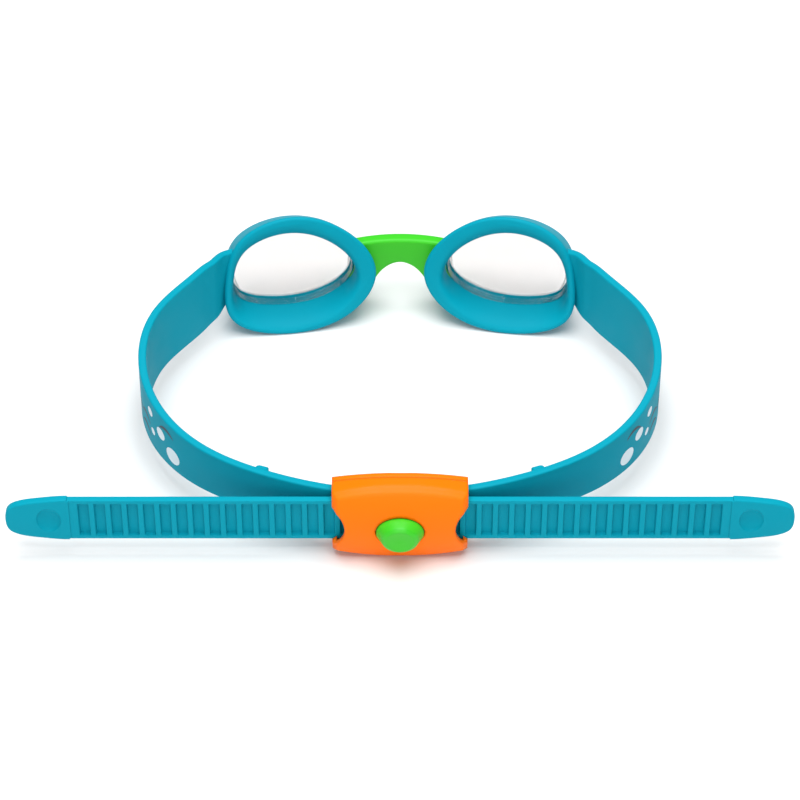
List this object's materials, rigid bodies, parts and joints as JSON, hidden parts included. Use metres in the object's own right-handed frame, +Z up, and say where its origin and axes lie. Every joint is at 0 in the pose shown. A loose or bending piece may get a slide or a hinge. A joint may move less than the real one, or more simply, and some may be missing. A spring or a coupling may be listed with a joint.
{
  "type": "swim goggles",
  "caption": "Toddler swim goggles: soft eye cups, clear lenses and a nose bridge, with a ladder strap drawn tight through a push-button clip.",
  "frame": {"origin": "centre of the bounding box at its base, the table under the two eye cups and the clip's foot", "axes": "+X to the wearer's right, +Y the way the wearer looks, from the clip at the back to the lenses in front, +Z up"},
  "size_m": [0.2134, 0.1223, 0.0359],
  "materials": {
    "lens": "clear polycarbonate, polished mould",
    "silicone_blue": "turquoise liquid silicone, satin",
    "silicone_green": "green silicone, satin",
    "abs_orange": "orange injection-moulded ABS, semi-gloss",
    "abs_green": "green injection-moulded ABS, semi-gloss",
    "acetal": "natural acetal",
    "steel": "stainless steel"
  },
  "bodies": {
    "goggles": {"left_lens": "lens", "right_lens": "lens", "left_eye_seal": "silicone_blue", "right_eye_seal": "silicone_blue", "nose_bridge": "silicone_green", "left_strap": "silicone_blue", "right_strap": "silicone_blue", "left_ladder_tail": "silicone_blue", "right_ladder_tail": "silicone_blue", "clip_cover": "abs_orange", "clip_back_plate": "abs_orange", "left_turn_bar": "steel", "right_turn_bar": "steel", "left_pawl_pin": "steel", "right_pawl_pin": "steel", "button_spring": "steel"},
    "button": {"push_button": "abs_green"},
    "left_pawl_body": {"left_pawl": "acetal"},
    "right_pawl_body": {"right_pawl": "acetal"}
  },
  "joints": [
    {"name": "button_press", "type": "slide", "parent": "goggles", "child": "button", "axis": [0, 1, 0], "range_m": [0, 0.0009], "stiffness_N_per_m": 450, "springref_m": -0.002, "deforming": ["button_spring"]},
    {"name": "left_pawl_rock", "type": "hinge", "parent": "goggles", "child": "left_pawl_body", "pos_m": [-0.0064, -0.0542, 0.01273], "axis": [0, 0, 1], "range_deg": [0, 15]},
    {"name": "right_pawl_rock", "type": "hinge", "parent": "goggles", "child": "right_pawl_body", "pos_m": [0.0064, -0.0542, 0.01273], "axis": [0, 0, -1], "range_deg": [0, 15]}
  ],
  "couplings": [
    {"joint": "left_pawl_rock", "follows": "button_press", "rad_per_m": 260},
    {"joint": "right_pawl_rock", "follows": "button_press", "rad_per_m": 260}
  ]
}
